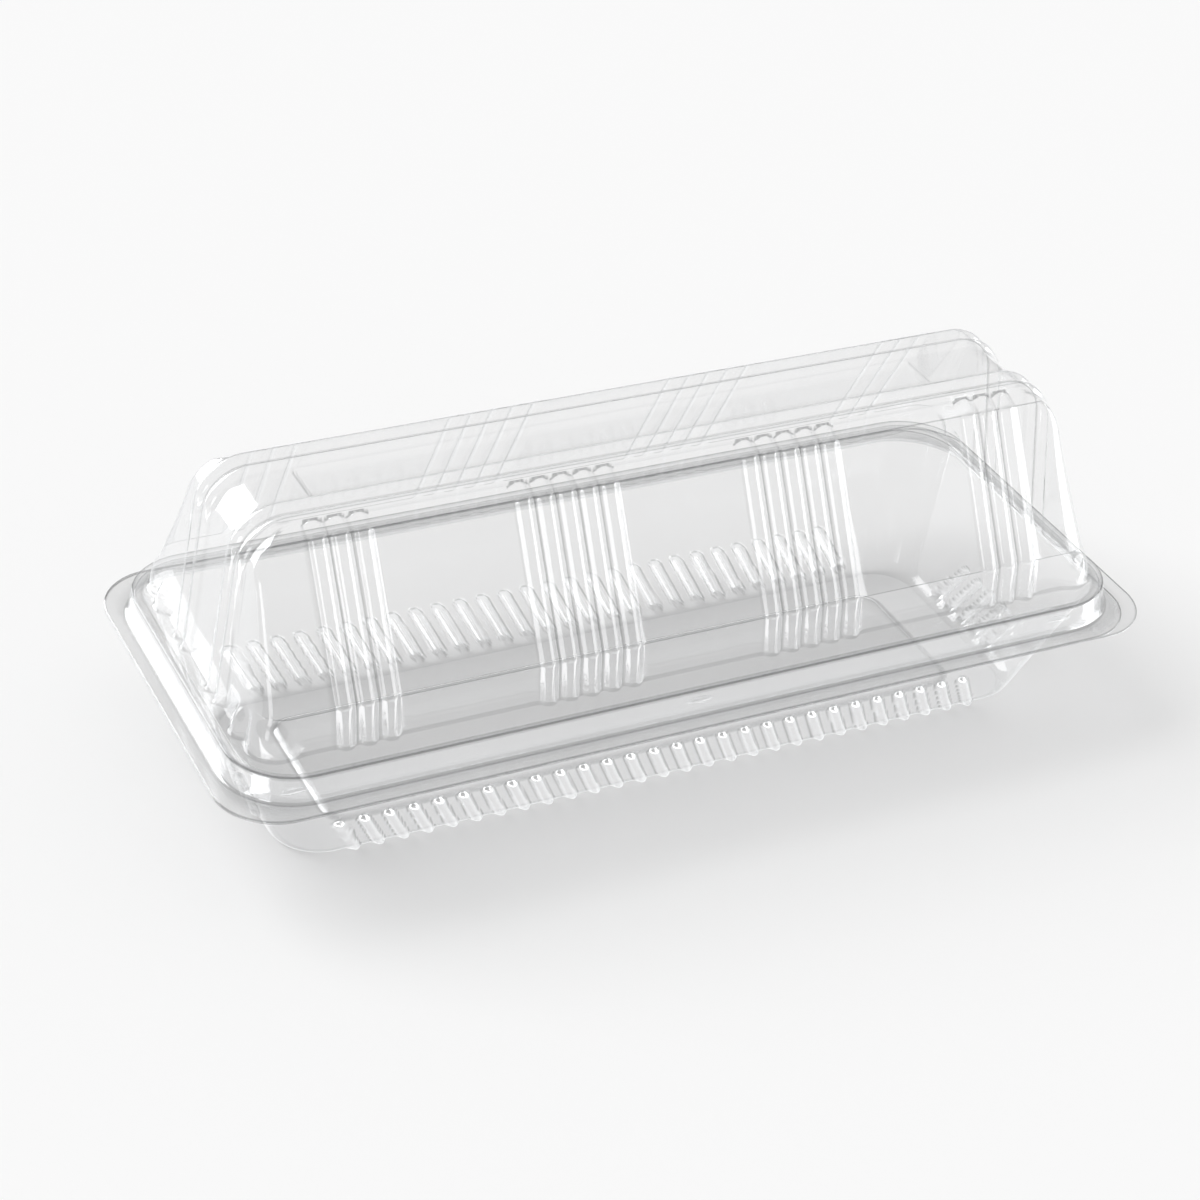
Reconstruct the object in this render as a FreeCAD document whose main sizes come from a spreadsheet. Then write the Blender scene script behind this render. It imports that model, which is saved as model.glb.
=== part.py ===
# Clear hinged clamshell pack: a shallow fluted tray and a tall ribbed dome lid.
# Both halves are formed from one thin clear sheet and fold about the rear edge.
# The tray's flange stands past the lid's at one end, as the tab that opens the pack.
# Millimetres. Origin under the middle of the tray, +X to the tab, +Y to the hinge, +Z up.
import FreeCAD, Part
import Sketcher
import math
import os

Vector = FreeCAD.Vector

SIZES = [
    # sheet
    ("wall", 0.4),
    ("fit_gap", 0.3),
    # flange, the flat rim round both halves
    ("flange_length", 240.0),
    ("flange_width", 105.0),
    ("flange_corner", 15.0),
    ("hinge_lip", 0.3),
    ("tab_reach", 4.7),
    ("form_shift", -1.2),
    # tray basin
    ("tray_depth", 29.0),
    ("floor_length", 198.0),
    ("floor_width", 64.0),
    ("floor_corner", 10.0),
    ("rim_height", 6.2),
    ("rim_land", 2.2),
    ("panel_length", 168.0),
    ("panel_width", 42.0),
    ("panel_corner", 5.0),
    ("panel_rise", 0.8),
    # flutes low on the tray walls
    ("flute_depth", 1.6),
    ("flute_proud", 0.9),
    ("flute_height", 12.0),
    ("flute_lean", 27.0),
    ("flute_pitch", 6.1),
    ("side_flutes", 28),
    ("end_flutes", 5),
    # lid skirt and shelf
    ("shelf_length", 228.0),
    ("shelf_width", 94.0),
    ("shelf_corner", 16.0),
    ("skirt_height", 7.0),
    ("skirt_draft", 10.5),
    # lid dome, heights above the shelf
    ("dome_length", 216.6),
    ("dome_width", 78.4),
    ("dome_height", 44.0),
    ("crease_height", 9.4),
    ("crease_inset", 1.1),
    ("shoulder_drop", 1.8),
    ("shoulder_width", 39.0),
    ("crown_width", 32.0),
    ("end_draft", 7.5),
    ("end_radius", 11.0),
    ("dome_corner", 7.0),
    # ribs on the long walls of the dome, depths from each bar's middle to its crest
    ("rib_depth", 2.3),
    ("rib_proud", 1.4),
    ("rib_pitch", 5.35),
    ("rib_top_drop", 1.4),
    ("inner_group_at", 28.7),
    ("inner_group_ribs", 5),
    ("outer_group_at", 83.0),
    ("outer_group_ribs", 3),
    # hoops that run over the dome from end to end
    ("hoop_depth", 2.2),
    ("hoop_proud", 1.5),
    ("inner_hoop_at", 8.6),
    ("outer_hoop_at", 13.9),
    # rounded buttresses at the dome's corners
    ("corner_lobe_radius", 6.5),
    ("corner_lobe_height", 10.5),
    ("end_lobe_radius", 4.2),
    ("end_lobe_height", 7.0),
]

# Heights of the lid's cross-sections, as shares of its end rounding and of its chamfer.
ARC_SHARES = (0.4, 0.74, 1.0)
CHAMFER_SHARES = (0.6,)
# How far the inner form's shoulder sinks, as a share of the sheet.
INNER_SHOULDER_SINK = 0.6
# A buttress's rings: height as a share of its height, radius as a share of its radius.
LOBE_RINGS = ((0.0, 1.0), (0.65, 0.82), (1.0, 0.3))
# Where a buttress's middle stands inside the dome's foot, as a share of its radius.
CORNER_LOBE_SEAT = 0.85
END_LOBE_SEAT = 0.5
# Where the smaller buttress stands, in radii of the larger one from the dome's side.
END_LOBE_PLACE = 2
# How deep a bar's end is buried in what carries it, in sheets or in its own sunk depth.
BURIED = 2
# Corner rule of a swept bar: mitred.
MITRED = 1
# Largest bow of a face that still counts as a plane.
FLATNESS = 1e-4

doc = FreeCAD.newDocument("ClamshellPack")
sheet = doc.addObject("Spreadsheet::Sheet", "Sizes")
for row, (alias, value) in enumerate(SIZES, start=1):
    sheet.set(f"A{row}", alias)
    sheet.set(f"B{row}", str(value))
    sheet.setAlias(f"B{row}", alias)
doc.recompute()


class Size:
    """A length, angle or count with its value and the formula that gives it."""

    def __init__(self, value, text=None):
        self.value = float(value)
        self.text = repr(float(value)) if text is None else text

    def joined(self, other, sign, value):
        return Size(value, f"({self.text} {sign} {other.text})")

    def __add__(self, other):
        other = as_size(other)
        return self.joined(other, "+", self.value + other.value)

    def __sub__(self, other):
        other = as_size(other)
        return self.joined(other, "-", self.value - other.value)

    def __mul__(self, other):
        other = as_size(other)
        return self.joined(other, "*", self.value * other.value)

    def __truediv__(self, other):
        other = as_size(other)
        return self.joined(other, "/", self.value / other.value)

    def __neg__(self):
        return self * -1

    def root(self):
        return Size(math.sqrt(self.value), f"sqrt({self.text})")

    def tan(self):
        return Size(math.tan(math.radians(self.value)), f"tan({self.text})")

    def cos(self):
        return Size(math.cos(math.radians(self.value)), f"cos({self.text})")

    def sin(self):
        return Size(math.sin(math.radians(self.value)), f"sin({self.text})")


def as_size(item):
    return item if isinstance(item, Size) else Size(item)


def size(alias):
    return Size(getattr(sheet, alias), f"Sizes.{alias}")


def count(alias):
    return int(round(getattr(sheet, alias)))


ZERO = Size(0)
wall = size("wall")
fit_gap = size("fit_gap")


# Sketches and bodies


def origin_plane(body, role):
    for feature in body.Origin.OriginFeatures:
        if feature.Role == role:
            return feature
    raise RuntimeError(f"no {role}")


def level_sketch(body, name, level):
    """An empty sketch in a level plane of the body."""
    sketch = body.newObject("Sketcher::SketchObject", name)
    sketch.AttachmentSupport = [(origin_plane(body, "XY_Plane"), "")]
    sketch.MapMode = "FlatFace"
    sketch.AttachmentOffset = FreeCAD.Placement(Vector(0, 0, level.value), FreeCAD.Rotation())
    sketch.setExpression("AttachmentOffset.Base.z", level.text)
    return sketch


def bind(sketch, constraint, measure):
    """Adds a constraint and ties its value to the sheet."""
    index = sketch.addConstraint(constraint)
    sketch.setExpression(f"Constraints[{index}]", measure.text)


def pin_point(sketch, edge, end, across, along):
    """Ties an edge's end or centre to a place given from the sketch's origin."""
    bind(sketch, Sketcher.Constraint("DistanceX", -1, 1, edge, end, across.value), across)
    bind(sketch, Sketcher.Constraint("DistanceY", -1, 1, edge, end, along.value), along)


def round_rectangle(body, name, level, half_length, half_width, radius, shift=ZERO):
    """A rounded rectangle in a level plane, centred at shift along X."""
    sketch = level_sketch(body, name, level)
    bend = radius.value
    reach_x = half_length.value - bend
    reach_y = half_width.value - bend
    middle = shift.value
    up = Vector(0, 0, 1)
    for turn, (side_x, side_y) in enumerate(((1, 1), (-1, 1), (-1, -1), (1, -1))):
        centre = Vector(middle + side_x * reach_x, side_y * reach_y, 0)
        circle = Part.Circle(centre, up, bend)
        start = math.radians(90 * turn)
        sketch.addGeometry(Part.ArcOfCircle(circle, start, start + math.pi / 2))
        pin_point(sketch, turn, 3, shift + (half_length - radius) * side_x,
                  (half_width - radius) * side_y)
    for turn in range(4):
        here = sketch.Geometry[turn].EndPoint
        there = sketch.Geometry[(turn + 1) % 4].StartPoint
        line = sketch.addGeometry(Part.LineSegment(here, there))
        sketch.addConstraint(Sketcher.Constraint("Tangent", turn, 2, line, 1))
        sketch.addConstraint(Sketcher.Constraint("Tangent", line, 2, (turn + 1) % 4, 1))
    bind(sketch, Sketcher.Constraint("Radius", 0, bend), radius)
    for turn in range(3):
        sketch.addConstraint(Sketcher.Constraint("Equal", turn, turn + 1))
    return sketch


def ring(body, name, level, across, along, radius):
    """A circle in a level plane."""
    sketch = level_sketch(body, name, level)
    centre = Vector(across.value, along.value, 0)
    sketch.addGeometry(Part.Circle(centre, Vector(0, 0, 1), radius.value))
    pin_point(sketch, 0, 3, across, along)
    bind(sketch, Sketcher.Constraint("Radius", 0, radius.value), radius)
    return sketch


def stacked_loft(body, name, sketches):
    """A ruled loft through level sketches, lowest first."""
    loft = body.newObject("PartDesign::AdditiveLoft", name)
    loft.Profile = (sketches[0], [""])
    loft.Sections = [(sketch, [""]) for sketch in sketches[1:]]
    loft.Ruled = True
    return loft


def new_body(name):
    body = doc.addObject("PartDesign::Body", name)
    body.Label = name
    return body


def frustum(name, stations, shift=ZERO):
    """A body lofted through rounded rectangles: (level, half length, half width, radius)."""
    body = new_body(name)
    sketches = []
    for number, (level, half_length, half_width, radius) in enumerate(stations):
        sketches.append(round_rectangle(body, f"{name}_section_{number}", level,
                                        half_length, half_width, radius, shift))
    stacked_loft(body, f"{name}_loft", sketches)
    doc.recompute()
    return flat_walled(f"{name}_form", body.Shape)


def flat_walled(name, source):
    """The solid with each face that is level-sided kept as a true plane."""
    faces = []
    for face in source.Faces:
        if not isinstance(face.Surface, Part.Plane) and face.Surface.isPlanar(FLATNESS):
            corners = [vertex.Point for vertex in face.OuterWire.OrderedVertexes]
            face = Part.Face(Part.Plane(*corners[:3]), face.OuterWire)
        faces.append(face)
    solid = Part.Solid(Part.makeShell(faces))
    solid.fix(FLATNESS, FLATNESS, FLATNESS)
    feature = doc.addObject("Part::Feature", name)
    feature.Shape = solid
    return feature


# Levels and half sizes that both halves share

flange_plane = size("tray_depth")
form_shift = size("form_shift")
shelf_level = flange_plane + size("skirt_height")
skirt_flare = size("skirt_height") * size("skirt_draft").tan()
skirt_wall = wall / size("skirt_draft").cos()
shoulder_height = size("dome_height") - size("shoulder_drop")
rib_top = size("dome_height") - size("rib_top_drop")


def flange_plate(name, bottom, end_trim, rear_trim):
    """The flat flange of one half, cut short at its tab end and along the hinge."""
    body = new_body(name)
    half_length = (size("flange_length") - end_trim) / 2
    half_width = size("flange_width") / 2
    outline = round_rectangle(body, f"{name}_outline", bottom, half_length, half_width,
                              size("flange_corner"), -end_trim / 2)
    pad = body.newObject("PartDesign::Pad", f"{name}_pad")
    pad.Profile = (outline, [""])
    pad.Length = wall.value
    pad.setExpression("Length", wall.text)
    if rear_trim is not None:
        trim = strip_sketch(body, f"{name}_rear", bottom, half_length, half_width, rear_trim)
        pocket = body.newObject("PartDesign::Pocket", f"{name}_rear_trim")
        pocket.Profile = (trim, [""])
        pocket.Length = wall.value
        pocket.setExpression("Length", wall.text)
        pocket.Reversed = True
    return body


def strip_sketch(body, name, level, half_length, half_width, depth):
    """A rectangle over the rear edge of the flange, as deep as the trim."""
    sketch = level_sketch(body, name, level)
    corners = [(-half_length, half_width - depth), (half_length, half_width - depth),
               (half_length, half_width + depth), (-half_length, half_width + depth)]
    points = [Vector(across.value, along.value, 0) for across, along in corners]
    for number in range(4):
        sketch.addGeometry(Part.LineSegment(points[number], points[(number + 1) % 4]))
    for number in range(4):
        sketch.addConstraint(Sketcher.Constraint("Coincident", number, 2, (number + 1) % 4, 1))
        pin_point(sketch, number, 1, *corners[number])
    return sketch


# Lid


def skirt_stations(inset, foot, top):
    """The drafted skirt from its foot level to its top level, inset from the outer face."""
    draft = size("skirt_draft").tan()
    stations = []
    for level in (foot, top):
        spread = (shelf_level - level) * draft - inset
        stations.append((level, size("shelf_length") / 2 + spread,
                         size("shelf_width") / 2 + spread, size("shelf_corner") + spread))
    return stations


def dome_end_half(height, inset):
    """Half the dome's length at a height above the shelf, on its drafted end wall."""
    draft = size("end_draft")
    return size("dome_length") / 2 - height * draft.tan() - inset / draft.cos()


def dome_stations(inset):
    """The dome from the shelf to its crown, inset by the wall for the inner form."""
    draft = size("end_draft")
    radius = size("end_radius")
    corner = size("dome_corner") - inset
    centre_height = size("dome_height") - radius
    tangent_height = centre_height + radius * draft.sin()
    centre_half = dome_end_half(tangent_height, ZERO) - radius * draft.cos()

    crease_half = size("dome_width") / 2 - size("crease_inset")
    shoulder_half = size("shoulder_width") / 2
    crown_half = size("crown_width") / 2
    wall_rise = shoulder_height - size("crease_height")
    wall_lean = (crease_half - shoulder_half) / wall_rise
    chamfer_rise = size("dome_height") - shoulder_height
    chamfer_lean = (shoulder_half - crown_half) / chamfer_rise
    wall_inset = inset * (wall_lean * wall_lean + 1).root()
    chamfer_inset = inset * (chamfer_lean * chamfer_lean + 1).root()

    def on_wall(height):
        return crease_half - (height - size("crease_height")) * wall_lean - wall_inset

    def on_chamfer(height):
        return shoulder_half - (height - shoulder_height) * chamfer_lean - chamfer_inset

    def end_on_arc(height):
        reach = radius - inset
        rise = height - centre_height
        return centre_half + (reach * reach - rise * rise).root()

    foot = ZERO - inset
    stations = [
        (foot, dome_end_half(foot, inset), size("dome_width") / 2 - inset, corner),
        (size("crease_height"), dome_end_half(size("crease_height"), inset),
         on_wall(size("crease_height")), corner),
        (tangent_height, dome_end_half(tangent_height, inset), on_wall(tangent_height), corner),
    ]
    shoulder = shoulder_height - inset * INNER_SHOULDER_SINK
    crown = size("dome_height") - inset
    for share in ARC_SHARES:
        height = tangent_height + (shoulder - tangent_height) * share
        stations.append((height, end_on_arc(height), on_wall(height), corner))
    for share in CHAMFER_SHARES:
        height = shoulder + (crown - shoulder) * share
        stations.append((height, end_on_arc(height), on_chamfer(height), corner))
    stations.append((crown, centre_half, on_chamfer(crown), corner))
    return [(shelf_level + height, half_length, half_width, radius_here)
            for height, half_length, half_width, radius_here in stations]


def hexagon(centre, heading, outward, apothem):
    """A six-sided section square to its heading, with one flat facing outward."""
    corner = apothem / math.cos(math.pi / 6)
    aside = heading.cross(outward)
    points = []
    for turn in range(7):
        angle = (turn + 1) * math.pi / 3
        points.append(centre + outward * (corner * math.sin(angle))
                      + aside * (corner * math.cos(angle)))
    return Part.makePolygon(points)


def bar(name, edges, outward, apothem):
    """A six-sided bar along a flat path, mitred at its corners, one flat outward."""
    heading = edges[0].tangentAt(edges[0].FirstParameter)
    square = outward - heading * outward.dot(heading)
    section = hexagon(edges[0].firstVertex().Point, heading, square.normalize(), apothem)
    return flat_walled(name, Part.Wire(edges).makePipeShell([section], True, False, MITRED))


def wall_rib(name, inset):
    """One rib that climbs the front wall and sinks into the crown."""
    sunk = size("rib_depth").value - size("rib_proud").value
    crease_half = size("dome_width").value / 2 - size("crease_inset").value
    crease_height = size("crease_height").value
    shoulder_half = size("shoulder_width").value / 2
    shoulder = shoulder_height.value
    lower_lean = math.atan2(size("crease_inset").value, crease_height)
    upper_lean = math.atan2(crease_half - shoulder_half, shoulder - crease_height)
    mitre_lean = (lower_lean + upper_lean) / 2
    depth = sunk / math.cos((upper_lean - lower_lean) / 2)
    foot_height = -BURIED * wall.value
    base = shelf_level.value
    turn = Vector(form_shift.value, -(crease_half - depth * math.cos(mitre_lean)),
                  base + crease_height - depth * math.sin(mitre_lean))
    drop = turn.z - base - foot_height
    foot = Vector(form_shift.value, turn.y - drop * math.tan(lower_lean), turn.z - drop)
    rise = rib_top.value + base - turn.z
    top = Vector(form_shift.value, turn.y + rise * math.tan(upper_lean), turn.z + rise)
    edges = [Part.LineSegment(foot, turn).toShape(), Part.LineSegment(turn, top).toShape()]
    return bar(name, edges, Vector(0, -1, 0), size("rib_depth").value - inset.value)


def hoop(name, along, inset):
    """One hoop: a bar along the crown and down both end walls."""
    draft = math.radians(size("end_draft").value)
    bend = size("end_radius").value
    sunk = size("hoop_depth").value - size("hoop_proud").value
    crown = size("dome_height").value - sunk
    centre_height = size("dome_height").value - bend
    tangent_height = centre_height + bend * math.sin(draft)
    wall_half = dome_end_half(Size(tangent_height), ZERO).value
    centre_half = wall_half - bend * math.cos(draft)
    reach = bend - sunk
    foot_height = -BURIED * wall.value
    foot_half = (dome_end_half(Size(foot_height), ZERO).value - sunk / math.cos(draft))
    base = shelf_level.value
    turn = Vector(centre_half + reach * math.cos(draft), 0,
                  base + centre_height + reach * math.sin(draft))
    middle_angle = (draft + math.pi / 2) / 2
    middle = Vector(centre_half + reach * math.cos(middle_angle), 0,
                    base + centre_height + reach * math.sin(middle_angle))
    top = Vector(centre_half, 0, base + crown)
    foot = Vector(foot_half, 0, base + foot_height)

    def flip(point):
        return Vector(-point.x, point.y, point.z)

    feature = bar(name, [
        Part.LineSegment(foot, turn).toShape(),
        Part.Arc(turn, middle, top).toShape(),
        Part.LineSegment(top, flip(top)).toShape(),
        Part.Arc(flip(top), flip(middle), flip(turn)).toShape(),
        Part.LineSegment(flip(turn), flip(foot)).toShape(),
    ], Vector(1, 0, 0), size("hoop_depth").value - inset.value)
    feature.Placement = FreeCAD.Placement(Vector(form_shift.value, along.value, 0),
                                          FreeCAD.Rotation())
    return feature


def corner_lobe(name, across, along, radius, height, inset):
    """A rounded buttress: a steep bulge that stands on the shelf against a corner."""
    body = new_body(name)
    base = shelf_level - inset
    rings = []
    for share, width in LOBE_RINGS:
        rings.append(ring(body, f"{name}_ring_{len(rings)}", base + height * share,
                          across, along, (radius - inset) * width))
    stacked_loft(body, f"{name}_loft", rings)
    return body


def united(name, base, additions):
    """A body with many repeated solids joined onto it."""
    solids = [solid for shape in additions for solid in shape.Solids]
    feature = doc.addObject("Part::Feature", name)
    feature.Shape = base.Shape.multiFuse(solids)
    return feature


def shifted(shape, across):
    copy = shape.copy()
    copy.translate(Vector(across, 0, 0))
    return copy


def mirrored(shape, normal, about=Vector(0, 0, 0)):
    return shape.mirror(about, normal)


def rib_places():
    """Where the ribs stand along X, from the middle of the dome."""
    places = []
    for middle, ribs in (("inner_group_at", "inner_group_ribs"),
                         ("outer_group_at", "outer_group_ribs")):
        number = count(ribs)
        for index in range(number):
            offset = size(middle).value + (index - (number - 1) / 2) * size("rib_pitch").value
            places += [offset, -offset]
    return places


def fused(name, objects):
    union = doc.addObject("Part::MultiFuse", name)
    union.Shapes = objects
    return union


def cut(name, base, tool):
    difference = doc.addObject("Part::Cut", name)
    difference.Base = base
    difference.Tool = tool
    return difference


def lid_form(name, inset):
    """The dome with its ribs, hoops and buttresses, outer form or inner form."""
    dome = frustum(f"{name}_dome", dome_stations(inset), form_shift)
    rib = wall_rib(f"{name}_rib", inset)
    ribs = []
    for place in rib_places():
        front = shifted(rib.Shape, place)
        ribs += [front, mirrored(front, Vector(0, 1, 0))]
    hoops = []
    for at in ("inner_hoop_at", "outer_hoop_at"):
        hoops += [hoop(f"{name}_{at}_front", -size(at), inset),
                  hoop(f"{name}_{at}_rear", size(at), inset)]
    half_length = size("dome_length") / 2
    half_width = size("dome_width") / 2
    corner_radius = size("corner_lobe_radius")
    corner_seat = corner_radius * CORNER_LOBE_SEAT
    end_radius = size("end_lobe_radius")
    lobes = [
        corner_lobe(f"{name}_corner_lobe", form_shift + half_length - corner_seat,
                    -(half_width - corner_seat), corner_radius,
                    size("corner_lobe_height"), inset),
        corner_lobe(f"{name}_end_lobe", form_shift + half_length - end_radius * END_LOBE_SEAT,
                    -(half_width - corner_radius * END_LOBE_PLACE), end_radius,
                    size("end_lobe_height"), inset),
    ]
    doc.recompute()
    about = Vector(form_shift.value, 0, 0)
    additions = ribs + [bar.Shape for bar in hoops]
    for lobe in lobes:
        right = lobe.Shape
        left = mirrored(right, Vector(1, 0, 0), about)
        additions += [right, left, mirrored(right, Vector(0, 1, 0)),
                      mirrored(left, Vector(0, 1, 0))]
    return united(name, dome, additions)


def build_lid():
    flange = flange_plate("lid_flange", flange_plane, size("tab_reach"), size("hinge_lip"))
    skirt = frustum("lid_skirt", skirt_stations(ZERO, flange_plane, shelf_level), form_shift)
    skirt_void = frustum("lid_skirt_void",
                         skirt_stations(skirt_wall, flange_plane - wall, shelf_level - wall),
                         form_shift)
    rim = cut("lid_rim", fused("lid_rim_block", [flange, skirt]), skirt_void)
    outside = fused("lid_outside", [rim, lid_form("lid_outer", ZERO)])
    lid = cut("lid", outside, lid_form("lid_inner", wall))
    lid.Label = "lid"
    return lid


# Tray


def rim_stations(inset, foot, top):
    """The tray's raised rim, which stands inside the lid's skirt with a clearance."""
    return skirt_stations(skirt_wall + fit_gap + inset, foot, top)


def basin_stations(inset):
    """The tapering basin from its floor to the inner edge of the rim land."""
    top = flange_plane + size("rim_height")
    draft = size("skirt_draft").tan()
    spread = (shelf_level - top) * draft - skirt_wall - fit_gap - size("rim_land")
    top_length = size("shelf_length") / 2 + spread
    top_width = size("shelf_width") / 2 + spread
    floor_length = size("floor_length") / 2
    floor_width = size("floor_width") / 2
    lean = (top_width - floor_width) / top
    side = inset * (lean * lean + 1).root()
    end_lean = (top_length - floor_length) / top
    end = inset * (end_lean * end_lean + 1).root()
    floor = inset
    above = top + inset
    top_corner = size("floor_corner") + lean * above
    return [
        (floor, floor_length + end_lean * floor - end, floor_width + lean * floor - side,
         size("floor_corner") + lean * floor - side),
        (above, floor_length + end_lean * above - end, floor_width + lean * above - side,
         top_corner - side),
    ]


def flute(name, half_floor, lean, inset):
    """One flute of a wall that stands at half_floor along -Y and leans out with height."""
    sunk = size("flute_depth").value - size("flute_proud").value
    height = size("flute_height").value
    slant = math.tan(math.radians(size("flute_lean").value))
    tilt = math.atan(math.hypot(slant, lean.value))
    depth = size("flute_depth").value - inset.value
    start = inset.value + depth / math.cos(math.pi / 6) * math.sin(tilt)
    foot = Vector(-start * slant, -(half_floor.value + lean.value * start - sunk), start)
    head = Vector(-height * slant, -(half_floor.value + lean.value * height - BURIED * sunk),
                  height)
    edge = Part.LineSegment(foot, head).toShape()
    return bar(name, [edge], Vector(0, -1, 0), depth)


def tray_form(name, inset):
    """The basin with its flutes, outer form or inner form."""
    stations = basin_stations(inset)
    basin = frustum(f"{name}_basin", stations, form_shift)
    outer = basin_stations(ZERO)
    rise = outer[1][0] - outer[0][0]
    side_lean = (outer[1][2] - outer[0][2]) / rise
    end_lean = (outer[1][1] - outer[0][1]) / rise
    side_flute = flute(f"{name}_side_flute", size("floor_width") / 2, side_lean, inset)
    end_flute = flute(f"{name}_end_flute", size("floor_length") / 2, end_lean, inset)
    flutes = []
    for index in range(count("side_flutes")):
        offset = (index - (count("side_flutes") - 1) / 2) * size("flute_pitch").value
        front = shifted(side_flute.Shape, form_shift.value + offset)
        rear = mirrored(front, Vector(0, 1, 0))
        flutes += [front, rear]
    for index in range(count("end_flutes")):
        offset = (index - (count("end_flutes") - 1) / 2) * size("flute_pitch").value
        end = shifted(end_flute.Shape, offset)
        end.rotate(Vector(0, 0, 0), Vector(0, 0, 1), 90)
        end.translate(Vector(form_shift.value, 0, 0))
        flutes += [end, mirrored(end, Vector(1, 0, 0), Vector(form_shift.value, 0, 0))]
    return united(name, basin, flutes)


def floor_panel(name, bottom):
    """The raised stiffening panel in the middle of the floor."""
    half_length = size("panel_length") / 2
    half_width = size("panel_width") / 2
    radius = size("panel_corner")
    rise = size("panel_rise")
    return frustum(name, [
        (bottom, half_length, half_width, radius),
        (bottom + rise, half_length - rise, half_width - rise, radius - rise),
    ], form_shift)


def build_tray():
    flange = flange_plate("tray_flange", flange_plane - wall, ZERO, None)
    rim_top = flange_plane + size("rim_height")
    rim_block = frustum("tray_rim_block", rim_stations(ZERO, flange_plane - wall, rim_top),
                        form_shift)
    rim_void = frustum("tray_rim_void",
                       rim_stations(skirt_wall, flange_plane - wall * 2, rim_top - wall),
                       form_shift)
    rim = cut("tray_rim", fused("tray_rim_solid", [flange, rim_block]), rim_void)
    outside = fused("tray_outside", [rim, tray_form("tray_outer", ZERO)])
    shell = cut("tray_shell", outside, tray_form("tray_inner", wall))
    raised = fused("tray_raised", [shell, floor_panel("tray_panel", wall)])
    tray = cut("tray", raised, floor_panel("tray_panel_void", ZERO))
    tray.Label = "tray"
    return tray


def check(objects):
    """Stops the build where a feature failed or a finished piece is not one good solid."""
    for item in doc.Objects:
        if "Invalid" in item.State or "Error" in item.State:
            raise RuntimeError(f"{item.Name} failed: {item.State}")
    for item in objects:
        shape = item.Shape
        if shape.isNull() or not shape.isValid() or len(shape.Solids) != 1:
            raise RuntimeError(f"{item.Label} is not one valid solid: {len(shape.Solids)}")
        print(f"{item.Label}: {shape.Volume:.1f} mm3, faces {len(shape.Faces)},"
              f" box {shape.BoundBox}")


pieces = [build_tray(), build_lid()]
doc.recompute()
check(pieces)
os.makedirs("parts", exist_ok=True)
for piece in pieces:
    piece.Shape.exportStep(f"parts/{piece.Label}.step")
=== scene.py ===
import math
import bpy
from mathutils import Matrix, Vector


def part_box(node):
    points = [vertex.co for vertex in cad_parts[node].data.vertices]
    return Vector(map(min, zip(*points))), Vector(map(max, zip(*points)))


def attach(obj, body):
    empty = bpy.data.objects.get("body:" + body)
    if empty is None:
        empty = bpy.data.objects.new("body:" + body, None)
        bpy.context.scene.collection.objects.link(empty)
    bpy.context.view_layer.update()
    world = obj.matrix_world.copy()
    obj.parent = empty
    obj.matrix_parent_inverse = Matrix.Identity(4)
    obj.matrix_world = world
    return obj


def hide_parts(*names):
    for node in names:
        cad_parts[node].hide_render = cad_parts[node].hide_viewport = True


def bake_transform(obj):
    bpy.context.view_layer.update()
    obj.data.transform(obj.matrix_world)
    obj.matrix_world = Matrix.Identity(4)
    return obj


bl_info = {
    "name": "Clear Clamshell Pack",
    "version": (1, 0, 0),
    "blender": (4, 5, 0),
    "location": "3D View > Sidebar > Clamshell",
    "description": "Dresses the packed clamshell: formed lid, fluted tray, hinge film and studio",
    "category": "Object",
}

import bpy
import numpy as np
from bpy.props import FloatProperty, FloatVectorProperty, IntProperty, PointerProperty
from mathutils import Matrix, Vector

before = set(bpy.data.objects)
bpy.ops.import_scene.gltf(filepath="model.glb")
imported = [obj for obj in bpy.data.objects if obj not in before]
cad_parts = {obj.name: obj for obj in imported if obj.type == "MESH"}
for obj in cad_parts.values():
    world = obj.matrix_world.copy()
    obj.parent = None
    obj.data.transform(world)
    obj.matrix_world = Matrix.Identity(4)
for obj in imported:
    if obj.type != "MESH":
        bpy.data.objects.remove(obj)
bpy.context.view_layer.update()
TRAY_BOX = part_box("tray")
LID_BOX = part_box("lid")


# Settings


def length(name, description, default):
    """A length setting in metres."""
    return FloatProperty(name=name, description=description, default=default, min=0.0,
                         precision=5, unit="LENGTH")


def share(name, description, default):
    """A setting from nought to one."""
    return FloatProperty(name=name, description=description, default=default, min=0.0,
                         max=1.0, subtype="FACTOR")


def tint(name, description, default):
    """A colour setting."""
    return FloatVectorProperty(name=name, description=description, default=default, size=3,
                               min=0.0, max=1.0, subtype="COLOR")


class FlangeSizes(bpy.types.PropertyGroup):
    """Sizes that the flanges of both halves share."""

    half_length: length("Half length", "From the middle to the end of the flange",
                        TRAY_BOX[1][0])
    half_width: length("Half width", "From the middle to the front of the flange",
                       -TRAY_BOX[0][1])
    lid_rear: length("Lid rear edge", "Where the lid's flange ends at the fold",
                     LID_BOX[1][1])
    tab_reach: length("Tab reach", "How far the tray's flange stands past the lid's", 0.0047)
    corner: length("Corner", "Radius of the flange's corners", 0.015)
    level: length("Level", "Height of the plane where both flanges meet", LID_BOX[0][2])
    sheet: length("Sheet", "Thickness of the plastic sheet", 0.0004)
    form_shift: length("Form shift", "How far the forms stand to the narrow end", 0.0012)
    skirt_draft: FloatProperty(name="Skirt draft", description="Lean of the skirt and rim",
                               default=math.radians(10.5), subtype="ANGLE")


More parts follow.
